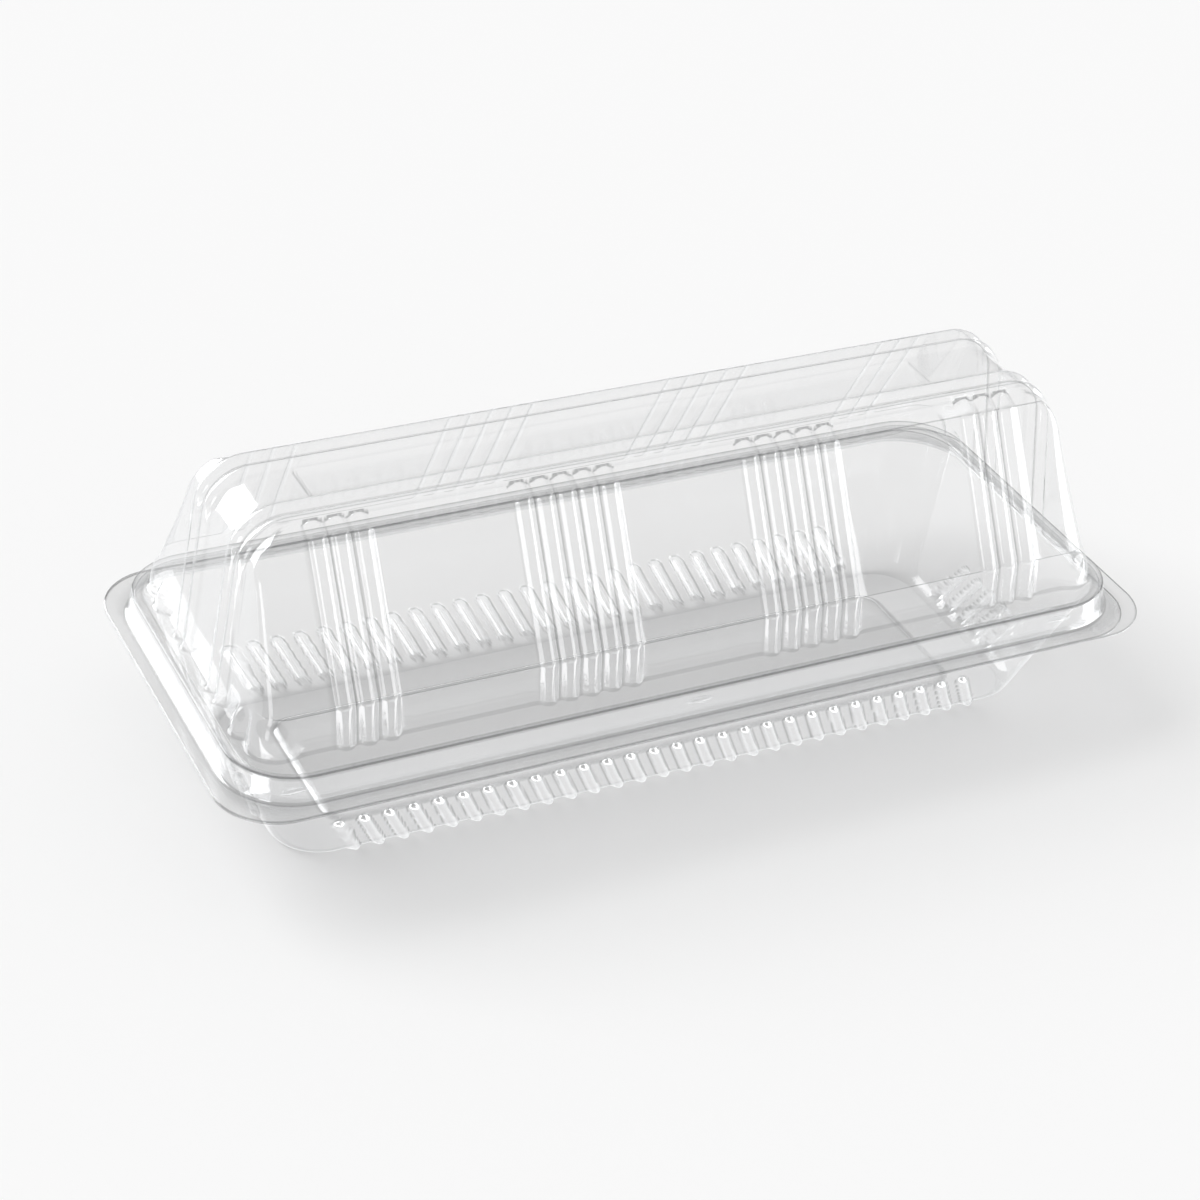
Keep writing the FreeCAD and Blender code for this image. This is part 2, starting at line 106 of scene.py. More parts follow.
class LidSizes(bpy.types.PropertyGroup):
    """Sizes of the ribbed dome lid."""

    shelf_length: length("Shelf half length", "Half length of the skirt's top edge", 0.114)
    shelf_width: length("Shelf half width", "Half width of the skirt's top edge", 0.047)
    shelf_corner: length("Shelf corner", "Corner radius of the shelf", 0.016)
    skirt_height: length("Skirt height", "From the flange plane to the shelf", 0.007)
    dome_length: length("Dome half length", "Half length of the dome at its foot", 0.1083)
    dome_width: length("Dome half width", "Half width of the dome at its foot", 0.0392)
    dome_corner: length("Dome corner", "Corner radius of the dome at its foot", 0.007)
    dome_height: length("Dome height", "From the shelf to the crown", 0.044)
    crease_height: length("Crease height", "Where the long walls start to lean", 0.0094)
    crease_inset: length("Crease inset", "How far in the crease stands", 0.0011)
    shoulder_height: length("Shoulder height", "Where the long walls end", 0.0422)
    shoulder_width: length("Shoulder half width", "Half width at the shoulder", 0.0195)
    crown_width: length("Crown half width", "Half width of the crown", 0.016)
    end_radius: length("End radius", "Rounding of the dome's ends", 0.011)
    end_draft: FloatProperty(name="End draft", description="Lean of the end walls",
                             default=math.radians(7.5), subtype="ANGLE")
    rib_radius: length("Rib radius", "Radius of the wall ribs", 0.0023)
    rib_proud: length("Rib proud", "How far a rib stands out of the wall", 0.0014)
    rib_pitch: length("Rib pitch", "From rib to rib within a group", 0.00535)
    rear_sink: length("Rear sink", "How much less the rear ribs stand out", 0.0008)
    inner_group: length("Inner group", "Middle of the inner rib groups", 0.0287)
    outer_group: length("Outer group", "Middle of the outer rib groups", 0.083)
    inner_ribs: IntProperty(name="Inner ribs", description="Ribs in an inner group",
                            default=5, min=1)
    outer_ribs: IntProperty(name="Outer ribs", description="Ribs in an outer group",
                            default=3, min=1)
    hoop_radius: length("Hoop radius", "Radius of the hoops over the dome", 0.0022)
    hoop_proud: length("Hoop proud", "How far a hoop stands out of the dome", 0.0015)
    inner_hoop: length("Inner hoop", "Inner hoops' distance from the middle", 0.0086)
    outer_hoop: length("Outer hoop", "Outer hoops' distance from the middle", 0.0139)
    corner_lobe: length("Corner lobe radius", "Radius of the corner buttresses", 0.0065)
    corner_lobe_height: length("Corner lobe height", "Height of the buttresses", 0.0105)
    end_lobe: length("End lobe radius", "Radius of the smaller buttresses", 0.0042)
    end_lobe_height: length("End lobe height", "Height of the smaller ones", 0.007)
    fillet: length("Fillet", "Softness where a rib runs into the wall", 0.0007)
    recess_start: FloatProperty(name="Recess start", default=-0.086, unit="LENGTH",
                                description="Where the crown's recess starts at the left")
    recess_end: length("Recess end", "Where the crown's recess ends at the right", 0.074)
    recess_width: length("Recess half width", "Half width of the crown's recess", 0.006)
    recess_depth: length("Recess depth", "How deep the crown's recess is", 0.0005)


class TraySizes(bpy.types.PropertyGroup):
    """Sizes of the fluted tray."""

    rim_height: length("Rim height", "From the flange plane to the rim land", 0.0062)
    rim_gap: length("Rim gap", "Sheet and clearance between rim and skirt", 0.0007)
    rim_land: length("Rim land", "Width of the rim's flat top", 0.0022)
    floor_length: length("Floor half length", "Half length of the floor", 0.099)
    floor_width: length("Floor half width", "Half width of the floor", 0.032)
    floor_corner: length("Floor corner", "Corner radius of the floor", 0.012)
    edge_round: length("Edge round", "Rounding between floor and walls", 0.0022)
    panel_length: length("Panel half length", "Half length of the floor panel", 0.084)
    panel_width: length("Panel half width", "Half width of the floor panel", 0.021)
    panel_rise: length("Panel rise", "How high the floor panel stands", 0.0008)
    flute_radius: length("Flute radius", "Radius of a flute", 0.00145)
    flute_proud: length("Flute proud", "How far a flute stands out", 0.0013)
    flute_height: length("Flute height", "How high the flutes climb", 0.012)
    flute_pitch: length("Flute pitch", "From flute to flute", 0.0061)
    flute_lean: FloatProperty(name="Flute lean", description="Slant of the flutes",
                              default=math.radians(27), subtype="ANGLE")
    side_flutes: IntProperty(name="Side flutes", description="Flutes on a long wall",
                             default=28, min=1)
    end_flutes: IntProperty(name="End flutes", description="Flutes on an end wall",
                            default=5, min=1)


class MarkSettings(bpy.types.PropertyGroup):
    """Small marks that are pressed into the lid's skirt and flange."""

    nub_pitch: length("Nub pitch", "From snap nub to snap nub", 0.0985)
    nub_place: FloatProperty(name="Nub place", description="Middle nub's place along X",
                             default=-0.006, unit="LENGTH")
    nub_rise: length("Nub rise", "Height of the nubs over the flange plane", 0.0045)
    nub_size: FloatVectorProperty(name="Nub size", default=(0.0034, 0.0007, 0.0008),
                                  description="Half sizes of a nub", unit="LENGTH")
    nubs: IntProperty(name="Nubs", description="Nubs on the front skirt", default=3, min=1)
    stipple_start: length("Stipple start", "From the skirt's corner to the stipple", 0.0011)
    stipple_width: length("Stipple width", "Width of the stippled band", 0.0027)
    stipple_from: FloatProperty(name="Stipple from", description="Where the band starts",
                                default=math.radians(-78), subtype="ANGLE")
    stipple_to: FloatProperty(name="Stipple to", description="Where the band ends",
                              default=math.radians(-28), subtype="ANGLE")
    grain_size: FloatVectorProperty(name="Grain size", default=(0.00024, 0.00024, 0.00013),
                                    description="Half sizes of a stipple grain", unit="LENGTH")
    grain_gap: length("Grain gap", "Least distance between grains", 0.00058)
    seed: IntProperty(name="Seed", description="Seed of the stipple's spread", default=4)


class FinishSettings(bpy.types.PropertyGroup):
    """The clear sheet's look."""

    clearness: share("Clearness", "Light that one layer lets through, seen square on", 0.975)
    edge_shade: share("Edge shade", "Light that one layer lets through at a glancing angle",
                      0.35)
    gloss_colour: tint("Gloss colour", "Colour of the sheet's reflections", (0.95, 0.96, 0.97))
    roughness: share("Roughness", "Roughness of the formed surface", 0.045)


class StageSettings(bpy.types.PropertyGroup):
    """The studio and the camera."""

    floor_colour: tint("Floor colour", "Colour of the studio floor", (0.93, 0.93, 0.93))
    # Painted highlight: the floor glows brighter in reflections than it is lit, and the strip
    # before the pack much brighter still
    mirrored_floor: FloatProperty(name="Mirrored floor", default=1.3,
                                  description="Brightness of the floor in reflections")
    mirrored_strip: FloatProperty(name="Mirrored strip", default=7.0,
                                  description="The same for the strip before the pack")
    key_strength: FloatProperty(name="Key strength", default=1.5,
                                description="Strength of the soft key light")
    sky_strength: FloatProperty(name="Sky strength", default=0.86,
                                description="Brightness of the studio's walls")
    mirrored_sky: FloatProperty(name="Mirrored sky", default=0.5,
                                description="Brightness of the walls in reflections")
    azimuth: FloatProperty(name="Azimuth", description="Camera turn from the front to the left",
                           default=math.radians(28.125), subtype="ANGLE")
    elevation: FloatProperty(name="Elevation", description="Camera height angle",
                             default=math.radians(33.337), subtype="ANGLE")
    roll: FloatProperty(name="Roll", description="Camera roll",
                        default=math.radians(4.703), subtype="ANGLE")
    distance: length("Distance", "From the camera to the flange plane's middle", 0.69469)
    slide_right: FloatProperty(name="Slide right", description="Camera slide along its right",
                               default=-0.007534, unit="LENGTH")
    slide_up: FloatProperty(name="Slide up", description="Camera slide along its up",
                            default=0.000716, unit="LENGTH")
    lens: FloatProperty(name="Lens", description="Focal length in millimetres",
                        default=85.64)


# Shader helper


class Wire:
    """A socket that can be used in arithmetic, which adds Math nodes."""

    def __init__(self, board, socket):
        self.board = board
        self.socket = socket

    def maths(self, operation, *values):
        return self.board.add("ShaderNodeMath", {"operation": operation},
                              dict(enumerate(values)))

    def __add__(self, other):
        return self.maths("ADD", self, other)

    __radd__ = __add__

    def __mul__(self, other):
        return self.maths("MULTIPLY", self, other)

    __rmul__ = __mul__

    def __sub__(self, other):
        return self.maths("SUBTRACT", self, other)

    def __rsub__(self, other):
        return self.maths("SUBTRACT", other, self)

    def __pow__(self, other):
        return self.maths("POWER", self, other)

    def unsigned(self):
        return self.maths("ABSOLUTE", self)

    def held(self):
        """The value kept between nought and one."""
        return self.board.add("ShaderNodeClamp", {}, {"Value": self})


class Board:
    """A material's or world's node tree, emptied and ready to be wired."""

    def __init__(self, owner):
        owner.use_nodes = True
        self.tree = owner.node_tree
        self.tree.nodes.clear()

    def add(self, kind, settings, inputs, output=0):
        """Adds a node: its settings first, then its sockets' values or links."""
        node = self.tree.nodes.new(kind)
        for key, value in settings.items():
            setattr(node, key, value)
        for key, value in inputs.items():
            socket = node.inputs[key]
            if isinstance(value, Wire):
                self.tree.links.new(value.socket, socket)
            else:
                socket.default_value = value
        return Wire(self, node.outputs[output]) if len(node.outputs) else None

    def noise(self, place, scale, detail, roughness=0.5):
        return self.add("ShaderNodeTexNoise", {}, {"Vector": place, "Scale": scale,
                                                   "Detail": detail, "Roughness": roughness})

    def mark(self, name):
        """A number that a mesh carries at its points."""
        return self.add("ShaderNodeAttribute", {"attribute_name": name}, {}, "Fac")

    def facing(self, inputs):
        """How far the surface turns away from the view, from nought to one."""
        return self.add("ShaderNodeLayerWeight", {}, {"Blend": 0.5, **inputs}, "Facing")

    def clear(self, share_through):
        """Lets this share of the light through, with no bending."""
        return self.add("ShaderNodeBsdfTransparent", {}, {"Color": (*share_through, 1.0)})

    def mirrored_apart(self, seen, mirrored):
        """One look for the camera and another for reflections."""
        path = self.add("ShaderNodeLightPath", {}, {}, "Is Glossy Ray")
        return self.add("ShaderNodeMixShader", {}, {0: path, 1: seen, 2: mirrored})


# How much each cause shades the sheet, and how much each makes it mirror
GLANCING_SHADE = 0.75
# Painted shade: how much the crease mark darkens the sheet's see-through colour along sharp bends
CREASE_SHADE = 0.7
SHADOW_SHADE = 0.3
SQUARE_GLOSS = 0.075
GLANCING_GLOSS = 0.8
# Painted highlight: how much the ridge mark makes outward ridges mirror more strongly
RIDGE_GLOSS = 0.28


def clear_sheet(name, finish, wave_scale, haze):
    """Clear formed plastic: light passes, creases are darkened with painted shade, outward ridges
    mirror more strongly as a painted highlight, and the skin mirrors the studio.

    The mirror's strength comes from Facing, because Fresnel would turn a wall that is seen
    from inside the pack into a full mirror.
    """
    material = bpy.data.materials.new(name)
    board = Board(material)
    place = board.add("ShaderNodeTexCoord", {}, {}, "Object")
    wave = board.noise(place, wave_scale, 2.0)
    grain = board.noise(place, 900.0, 3.0, 0.6)
    relief = board.add("ShaderNodeBump", {}, {
        "Strength": 0.16, "Distance": 0.0006, "Height": wave + grain * 0.02})
    smear = board.noise(place, 38.0, 4.0, 0.62)
    shadow = board.add("ShaderNodeLightPath", {}, {}, "Is Shadow Ray")
    # Painted shade: the crease mark darkens what shows through the sheet along sharp bends and
    # edges
    shading = (board.facing({}) ** 5.0 * GLANCING_SHADE + smear * haze
               + board.mark("crease") * CREASE_SHADE + shadow * SHADOW_SHADE)
    edge = finish.edge_shade
    through = board.add("ShaderNodeMixShader", {}, {
        0: shading.held(), 1: board.clear([finish.clearness] * 3),
        2: board.clear((edge, edge, edge * 1.01))})
    gloss = board.add("ShaderNodeBsdfPrincipled", {}, {
        "Base Color": (*finish.gloss_colour, 1.0), "Metallic": 1.0,
        "Roughness": smear * 0.06 + finish.roughness, "Normal": relief})
    # Painted highlight: the ridge mark raises the mirror's strength on outward ridges, so their
    # crests show bright streaks
    strength = (board.facing({"Normal": relief}) ** 4.0 * GLANCING_GLOSS
                + board.mark("ridge") * RIDGE_GLOSS + SQUARE_GLOSS)
    film = board.add("ShaderNodeMixShader", {}, {0: strength.held(), 1: through, 2: gloss})
    board.add("ShaderNodeOutputMaterial", {}, {"Surface": film})
    material.surface_render_method = "BLENDED"
    return material


# Formed shell


def spaced(stops, steps):
    """Places from the first stop to the last, about a step apart, mirrored about nought."""
    places = [stops[0]]
    for start, end, step in zip(stops, stops[1:], steps):
        number = max(1, round((end - start) / step))
        places += [start + (end - start) * (index + 1) / number for index in range(number)]
    right = np.array(places)
    return np.concatenate((-right[:0:-1], right))


class RingPlan:
    """Where each ring of a shell has its points, so that rings join point to point."""

    def __init__(self, along, across, kept_along, kept_across, corner_steps):
        self.along = along
        self.across = across
        self.kept_along = kept_along
        self.kept_across = kept_across
        self.corner_steps = corner_steps

    @staticmethod
    def stretched(places, kept, end):
        """The places, with those past the kept stretch moved to end where the side ends."""
        size = np.abs(places)
        moved = kept + (size - kept) * (end - kept) / (places[-1] - kept)
        return np.where(size > kept, np.sign(places) * moved, places)

    def ring(self, half_length, half_width, radius, shift, shear=0.0):
        """Points and outward plan normals round a rounded rectangle, from the front left.

        The shear leans the long sides' points along X and leaves the corners in place.
        """
        end_x = half_length - radius
        end_y = half_width - radius
        xs = self.stretched(self.along, self.kept_along, end_x)
        xs = xs + shear * (1.0 - (xs / end_x) ** 4)
        ys = self.stretched(self.across, self.kept_across, end_y)
        turns = np.linspace(0, math.pi / 2, self.corner_steps + 1)[1:-1]
        points = []
        normals = []

        def side(px, py, nx, ny):
            px, py = np.broadcast_arrays(np.asarray(px, float), np.asarray(py, float))
            points.append(np.column_stack((px, py)))
            normals.append(np.tile((float(nx), float(ny)), (len(px), 1)))

        def corner(side_x, side_y, start):
            out = np.column_stack((np.cos(start + turns), np.sin(start + turns)))
            points.append(out * radius + (side_x * end_x, side_y * end_y))
            normals.append(out)

        side(xs, -half_width, 0, -1)
        corner(1, -1, -math.pi / 2)
        side(half_length, ys, 1, 0)
        corner(1, 1, 0.0)
        side(xs[::-1], half_width, 0, 1)
        corner(-1, 1, math.pi / 2)
        side(-half_length, ys[::-1], -1, 0)
        corner(-1, -1, math.pi)
        places = np.concatenate(points)
        places[:, 0] -= shift
        return places, np.concatenate(normals)

    def flat_ring(self, half_length, half_width, radius, level, shift):
        """A ring at one height."""
        places, _ = self.ring(half_length, half_width, radius, shift)
        return np.column_stack((places, np.full(len(places), level)))

    def cap(self, half_length, half_width, shift):
        """A grid of points inside the last ring, as wide as its straight sides."""
        xs = self.stretched(self.along, self.kept_along, half_length) - shift
        ys = self.stretched(self.across, self.kept_across, half_width)
        return np.stack(np.meshgrid(xs, ys, indexing="ij"), axis=-1).reshape(-1, 2)

    def faces(self, ring_count):
        """Faces that join the rings and close the last one with the cap."""
        nx, ny, steps = len(self.along), len(self.across), self.corner_steps
        total = 2 * (nx + ny) + 4 * (steps - 1)
        here = np.arange(total)
        following = (here + 1) % total
        quads = []
        for number in range(ring_count - 1):
            base = number * total
            quads.append(np.column_stack((base + here, base + following,
                                          base + total + following, base + total + here)))
        last = (ring_count - 1) * total
        first = ring_count * total

        def grid(i, j):
            return first + i * ny + j

        i, j = np.meshgrid(np.arange(nx - 1), np.arange(ny - 1), indexing="ij")
        i, j = i.ravel(), j.ravel()
        quads.append(np.column_stack((grid(i, j), grid(i + 1, j), grid(i + 1, j + 1),
                                      grid(i, j + 1))))
        starts = np.cumsum([0, nx + steps - 1, ny + steps - 1, nx + steps - 1]) + last
        k = np.arange(nx - 1)
        m = np.arange(ny - 1)
        quads.append(np.column_stack((starts[0] + k, starts[0] + k + 1,
                                      grid(k + 1, 0), grid(k, 0))))
        quads.append(np.column_stack((starts[1] + m, starts[1] + m + 1,
                                      grid(nx - 1, m + 1), grid(nx - 1, m))))
        quads.append(np.column_stack((starts[2] + k, starts[2] + k + 1,
                                      grid(nx - 2 - k, ny - 1), grid(nx - 1 - k, ny - 1))))
        quads.append(np.column_stack((starts[3] + m, starts[3] + m + 1,
                                      grid(0, ny - 2 - m), grid(0, ny - 1 - m))))
        fans = []
        corners = ((starts[0] + nx - 1, grid(nx - 1, 0)),
                   (starts[1] + ny - 1, grid(nx - 1, ny - 1)),
                   (starts[2] + nx - 1, grid(0, ny - 1)),
                   (starts[3] + ny - 1, grid(0, 0)))
        for start, centre in corners:
            for step in range(steps):
                a = last + (start + step - last) % total
                b = last + (start + step + 1 - last) % total
                fans.append((a, b, centre))
        return np.concatenate(quads).tolist() + fans


def new_piece(name, vertices, faces, material, flip=False):
    """A smooth mesh object at the origin with its place in its mesh."""
    mesh = bpy.data.meshes.new(name)
    if flip:
        faces = [tuple(reversed(face)) for face in faces]
    mesh.from_pydata(np.asarray(vertices).tolist(), [], faces)
    mesh.polygons.foreach_set("use_smooth", [True] * len(mesh.polygons))
    mesh.materials.append(material)
    mesh.update()
    mark_creases(mesh)
    piece = bpy.data.objects.new(name, mesh)
    bpy.context.collection.objects.link(piece)
    return piece


# Bends, as one over the radius in metres, where a mark starts and where it is full
CREASE_BENDS = (620.0, 1900.0)
RIDGE_BENDS = (480.0, 680.0)
TOO_SHARP_BENDS = (1000.0, 1600.0)


def mark_creases(mesh):
    """Marks sharp bends of the sheet as creases, which get painted shade, and gentler outward
    ones as ridges, which get a painted highlight.
    """
    number = len(mesh.vertices)
    points = np.empty(number * 3)
    normals = np.empty(number * 3)
    pairs = np.empty(len(mesh.edges) * 2, dtype=np.int64)
    mesh.vertices.foreach_get("co", points)
    mesh.vertices.foreach_get("normal", normals)
    mesh.edges.foreach_get("vertices", pairs)
    points = points.reshape(-1, 3)
    normals = normals.reshape(-1, 3)
    first, second = pairs.reshape(-1, 2).T
    step = points[second] - points[first]
    span = np.maximum((step ** 2).sum(axis=1), 1e-10)
    inward = np.zeros(number)
    outward = np.zeros(number)
    for start, way in ((first, step), (second, -step)):
        rise = (way * normals[start]).sum(axis=1) * 2 / span
        np.maximum.at(inward, start, rise)
        np.maximum.at(outward, start, -rise)
    crease = smooth_step(np.maximum(inward, outward), *CREASE_BENDS)
    ridge = smooth_step(outward, *RIDGE_BENDS) * (1.0 - smooth_step(outward, *TOO_SHARP_BENDS))
    for name, values in (("crease", crease), ("ridge", ridge)):
        mark = mesh.attributes.new(name, "FLOAT", "POINT")
        mark.data.foreach_set("value", values.astype(np.float32))


def soft_least(a, b, blend):
    """The smaller of two distances, rounded where they cross."""
    share_of_a = np.clip(0.5 + 0.5 * (b - a) / blend, 0.0, 1.0)
    return b + (a - b) * share_of_a - blend * share_of_a * (1.0 - share_of_a)


def swollen(points, directions, squareness, bulges, blend):
    """Points moved along their directions to the skin of the base joined with its bulges.

    Squareness is how much nearer the base comes for each unit travelled.
    """
    travel = np.zeros(len(points))
    for _ in range(24):
        there = points + directions * travel[:, None]
        travel -= soft_least(travel * squareness, bulges(there), blend)
    return points + directions * travel[:, None]


def segment_gap(px, py, start, end):
    """Distance in a plane from points to a straight segment."""
    run = (end[0] - start[0], end[1] - start[1])
    reach = run[0] ** 2 + run[1] ** 2
    part = np.clip(((px - start[0]) * run[0] + (py - start[1]) * run[1]) / reach, 0.0, 1.0)
    return np.hypot(px - start[0] - part * run[0], py - start[1] - part * run[1])


def smooth_step(value, low, high):
    """Rises smoothly from nought at the low value to one at the high value."""
    part = np.clip((value - low) / (high - low), 0.0, 1.0)
    return part * part * (3.0 - 2.0 * part)


def rest_on(piece, body, nodes):
    """Sets which body carries a piece and hides the parts it replaces."""
    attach(piece, body)
    if nodes:
        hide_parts(*nodes)


# Lid


# Where the lid's points get closer, as stops and the steps between them: along X they are
# close at the ribs and across Y at the hoops. Within the kept half sizes they don't move
# from ring to ring.
LID_STEPS_ALONG = ([0.0, 0.0152, 0.0422, 0.0749, 0.0908, 0.1013],
                   [0.0025, 0.00043, 0.0025, 0.00043, 0.0013])
LID_STEPS_ACROSS = ([0.0, 0.0060, 0.0164, 0.0322], [0.0015, 0.00042, 0.0013])
LID_KEPT = (0.0905, 0.0145)
LID_FOOT_ROUND = 0.0008
LID_EDGE_ROUND = 0.0005
DOME_FOOT_ROUND = 0.0009
RECESS_EDGE = 0.0008


class DomeProfile:
    """The dome's half sizes and how its walls lean, by the height over the shelf."""

    def __init__(self, lid):
        self.lid = lid
        # the ends' rounding: its centre's height, where it starts and its centre along X
        self.arc_height = lid.dome_height - lid.end_radius
        self.tangent = self.arc_height + lid.end_radius * math.sin(lid.end_draft)
        self.arc_half = (lid.dome_length - self.tangent * math.tan(lid.end_draft)
                         - lid.end_radius * math.cos(lid.end_draft))
        self.crease_half = lid.dome_width - lid.crease_inset
        self.lean = ((self.crease_half - lid.shoulder_width)
                     / (lid.shoulder_height - lid.crease_height))
        self.chamfer = ((lid.shoulder_width - lid.crown_width)
                        / (lid.dome_height - lid.shoulder_height))

    def length_at(self, height):
        """Half the dome's length at a height, and the end wall's lean there."""
        lid = self.lid
        if height <= self.tangent:
            return lid.dome_length - height * math.tan(lid.end_draft), lid.end_draft
        angle = math.asin(min(1.0, (height - self.arc_height) / lid.end_radius))
        return self.arc_half + lid.end_radius * math.cos(angle), angle

    def width_at(self, height):
        """Half the dome's width at a height, and the long wall's lean there."""
        lid = self.lid
        if height <= lid.crease_height:
            rate = lid.crease_inset / lid.crease_height
            return lid.dome_width - height * rate, math.atan(rate)
        if height <= lid.shoulder_height:
            return (self.crease_half - (height - lid.crease_height) * self.lean,
                    math.atan(self.lean))
        return (lid.shoulder_width - (height - lid.shoulder_height) * self.chamfer,
                math.atan(self.chamfer))

    def corner_at(self, height):
        """Corner radius at a height."""
        upper = height / self.lid.dome_height
        radius = (self.lid.dome_corner * (1 - upper) ** 0.8
                  + 0.0030 * (1 - upper ** 3) * upper)
        return max(radius, 0.0005)

    def heights(self):
        """Heights of the wall's rings, close at its two bends to keep their lines thin."""
        lid = self.lid
        heights = list(np.linspace(DOME_FOOT_ROUND, lid.crease_height, 12))
        heights += list(np.linspace(lid.crease_height, self.tangent, 28)[1:])
        start = math.asin((self.tangent - self.arc_height) / lid.end_radius)
        for angle in np.linspace(start, math.pi / 2, 26)[1:]:
            heights.append(self.arc_height + lid.end_radius * math.sin(angle))
        for bend in (lid.crease_height, lid.shoulder_height):
            heights = [height for height in heights if abs(height - bend) > 0.0003]
            heights += [bend - 0.00018, bend, bend + 0.00012]
        return sorted(heights)


def lid_bulges(flange, lid, profile):
    """A distance function for the ribs, hoops and buttresses, in the pack's frame."""
    base = flange.level + lid.skirt_height
    sunk = lid.rib_radius - lid.rib_proud
    # a rib's path up the wall and over the shoulder, as half widths and heights
    route = [
        (lid.dome_width - sunk, -0.0008),
        (profile.crease_half - sunk, lid.crease_height),
        (lid.shoulder_width - sunk / 2, lid.shoulder_height - sunk),
        (lid.crown_width + sunk / 3, lid.dome_height - sunk * 1.55),
    ]
    centres = []
    for middle, number in ((lid.inner_group, lid.inner_ribs), (lid.outer_group, lid.outer_ribs)):
        for index in range(number):
            centres.append(middle + (index - (number - 1) / 2) * lid.rib_pitch)
    centres = np.array(centres)
    hoop_sunk = lid.hoop_radius - lid.hoop_proud
    draft = lid.end_draft
    lobes = [
        (lid.dome_length - lid.corner_lobe * 0.85, lid.dome_width - lid.corner_lobe * 0.85,
         lid.corner_lobe, lid.corner_lobe_height),
        (lid.dome_length - lid.end_lobe * 0.5, lid.dome_width - lid.corner_lobe * 2,
         lid.end_lobe, lid.end_lobe_height),
    ]

    def distance(points):
        x = np.abs(points[:, 0] + flange.form_shift)
        y = np.abs(points[:, 1])
        z = points[:, 2] - base
        rear = smooth_step(points[:, 1], 0.0, lid.crown_width) * lid.rear_sink
        beside = np.abs(x[:, None] - centres[None, :]).min(axis=1)
        climb = np.minimum.reduce([segment_gap(y, z, route[n], route[n + 1])
                                   for n in range(3)])
        nearest = np.hypot(beside, climb) - lid.rib_radius + rear
        u = x - profile.arc_half
        w = z - profile.arc_height
        on_arc = (u > 0) & (w > u * math.tan(draft))
        beyond = np.where(u <= 0, w, u * math.cos(draft) + w * math.sin(draft))
        beyond = np.where(on_arc, np.hypot(u, w), beyond) - lid.end_radius
        for at in (lid.inner_hoop, lid.outer_hoop):
            hoop = np.hypot(beyond + hoop_sunk, y - at) - lid.hoop_radius
            nearest = np.minimum(nearest, hoop)
        for across, along, radius, height in lobes:
            spread = np.hypot(np.hypot(x - across, y - along) / radius, z / height)
            nearest = np.minimum(nearest, (spread - 1.0) * radius)
        return nearest

    return distance


def skirt_rings(plan, flange, lid):
    """Rings from the edge of the lid's flange, up the skirt, to the shelf's edge."""
    top = flange.level + flange.sheet
    shelf = flange.level + lid.skirt_height
    slope = math.tan(flange.skirt_draft)
    half_tab = flange.tab_reach / 2
    rings = []
    for level, inset in ((flange.level, 0.0), (top, 0.0), (top, 0.0005)):
        rings.append(plan.flat_ring(flange.half_length - half_tab - inset,
                                    flange.half_width - inset, flange.corner - inset, level,
                                    half_tab))

    def skirt(level, out):
        rings.append(plan.flat_ring(lid.shelf_length + out, lid.shelf_width + out,
                                    lid.shelf_corner + out, level, flange.form_shift))

    foot_round, edge_round = LID_FOOT_ROUND, LID_EDGE_ROUND
    for angle in np.linspace(0, math.pi / 2 - flange.skirt_draft, 5):
        rise = foot_round * (1 - math.cos(angle))
        skirt(top + rise,
              (shelf - top - rise) * slope + foot_round * (1 - math.sin(angle)) * 0.9)
    for part in (0.35, 0.65, 1.0):
        level = top + foot_round + (shelf - edge_round - top - foot_round) * part
        skirt(level, (shelf - level) * slope)
    for angle in np.linspace(0, math.pi / 2, 6)[1:]:
        skirt(shelf - edge_round * (1 - math.sin(angle)),
              edge_round * slope - edge_round * (1 - math.cos(angle)))
    return rings


def shelf_rings(plan, flange, lid, edge, foot):
    """Rings from the shelf's edge to the rounded foot of the dome."""
    shelf = flange.level + lid.skirt_height
    _, out = plan.ring(lid.dome_length, lid.dome_width, lid.dome_corner, flange.form_shift)
    fillet_rings = []
    for angle in np.linspace(0, math.pi / 2, 5)[1:]:
        ring = foot.copy()
        ring[:, :2] += out * (DOME_FOOT_ROUND * (1 - math.cos(angle)))
        ring[:, 2] = shelf + DOME_FOOT_ROUND * (1 - math.sin(angle))
        fillet_rings.append(ring)
    flat_rings = [fillet_rings[-1] * (1 - part) + edge * part
                  for part in (0.8, 0.55, 0.3, 0.12)]
    return flat_rings + fillet_rings[::-1]


def dome_ring(plan, flange, lid, profile, bulges, height):
    """The dome's skin at one height over the shelf, with its ribs, hoops and buttresses."""
    half_length, end_tilt = profile.length_at(height)
    half_width, side_tilt = profile.width_at(height)
    places, out = plan.ring(half_length, half_width, profile.corner_at(height),
                            flange.form_shift)
    level = flange.level + lid.skirt_height + height
    points = np.column_stack((places, np.full(len(places), level)))
    tilt = end_tilt * out[:, 0] ** 2 + side_tilt * out[:, 1] ** 2
    normals = np.column_stack((out * np.cos(tilt)[:, None], np.sin(tilt)))
    # low on the wall the points move level, so that the foot stays on the shelf
    level_part = 1.0 - smooth_step(height, 0.0, lid.crease_height)
    aim = tilt * (1.0 - level_part)
    directions = np.column_stack((out * np.cos(aim)[:, None], np.sin(aim)))
    squareness = (directions * normals).sum(axis=1)
    return swollen(points, directions, squareness, bulges, lid.fillet)


